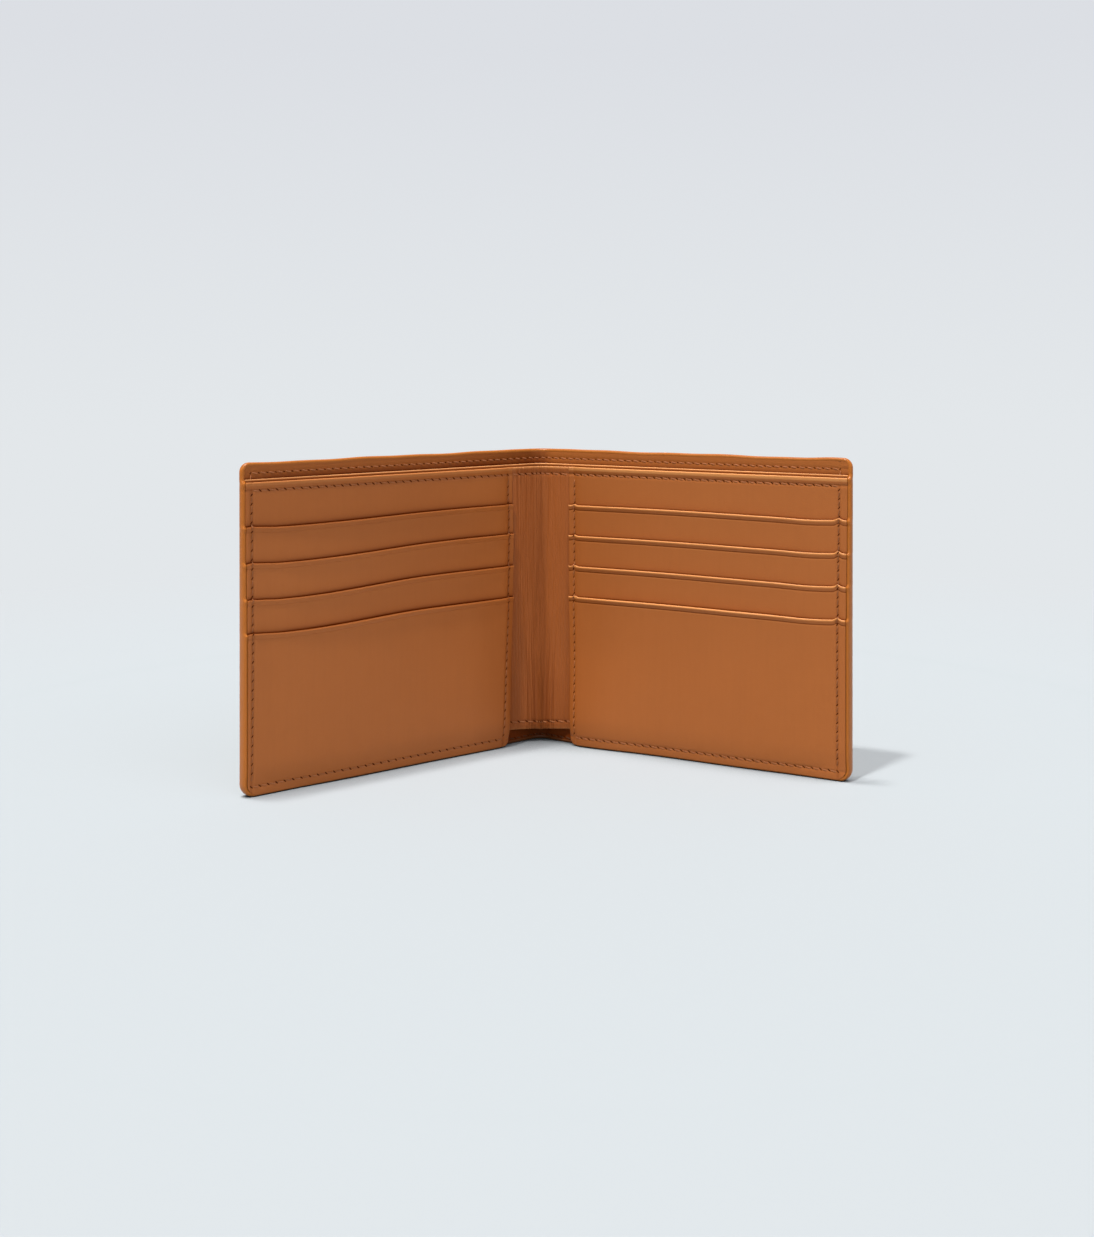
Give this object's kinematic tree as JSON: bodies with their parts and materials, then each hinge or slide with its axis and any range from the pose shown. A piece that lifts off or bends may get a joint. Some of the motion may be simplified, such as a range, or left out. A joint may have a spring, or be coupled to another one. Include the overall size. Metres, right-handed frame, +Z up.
{
  "type": "bifold wallet",
  "caption": "Leather bifold wallet standing open in a V, two pocketed halves that fold on a narrow spine, with card slots and a divided bill compartment.",
  "frame": {"origin": "middle of the base, on the surface that the wallet stands on, at the centre of its bounding box", "axes": "+Z up along the spine, +X to the right of someone looking into the open wallet, +Y from the open side towards the spine"},
  "size_m": [0.1788, 0.061, 0.095],
  "materials": {
    "cover_leather": "smooth tan calfskin with a soft satin sheen",
    "pocket_leather": "smooth tan calfskin with turned edges and a creased line beside each",
    "lining_leather": "thin tan lining leather, matt",
    "thread": "fine twisted thread, light tan"
  },
  "bodies": {
    "spine": {"cover_spine": "cover_leather", "lining_spine": "lining_leather", "bill_divider_spine": "lining_leather", "centre_strip": "pocket_leather", "cover_seam_spine_top": "thread", "cover_seam_spine_bottom": "thread", "lining_seam_spine_top": "thread", "lining_seam_spine_bottom": "thread", "strip_seam_top": "thread", "strip_seam_bottom": "thread"},
    "left_half": {"cover_left": "cover_leather", "lining_left": "lining_leather", "bill_divider_left": "lining_leather", "inner_panel_left": "pocket_leather", "card_pocket_1_left": "pocket_leather", "card_pocket_2_left": "pocket_leather", "card_pocket_3_left": "pocket_leather", "front_pocket_left": "pocket_leather", "pocket_seam_left": "thread", "cover_seam_left": "thread", "lining_seam_left": "thread"},
    "right_half": {"cover_right": "cover_leather", "lining_right": "lining_leather", "bill_divider_right": "lining_leather", "inner_panel_right": "pocket_leather", "card_pocket_1_right": "pocket_leather", "card_pocket_2_right": "pocket_leather", "card_pocket_3_right": "pocket_leather", "front_pocket_right": "pocket_leather", "pocket_seam_right": "thread", "cover_seam_right": "thread", "lining_seam_right": "thread"}
  },
  "joints": [
    {"name": "left_fold", "type": "hinge", "parent": "spine", "child": "left_half", "pos_m": [-0.0071, 0.03008, 0.0475], "axis": [0, 0, 1], "range_deg": [-34.5, 55.5]},
    {"name": "right_fold", "type": "hinge", "parent": "spine", "child": "right_half", "pos_m": [0.0071, 0.03008, 0.0475], "axis": [0, 0, -1], "range_deg": [-34.5, 55.5]}
  ],
  "couplings": [
    {"joint": "right_fold", "follows": "left_fold", "ratio": 1}
  ]
}
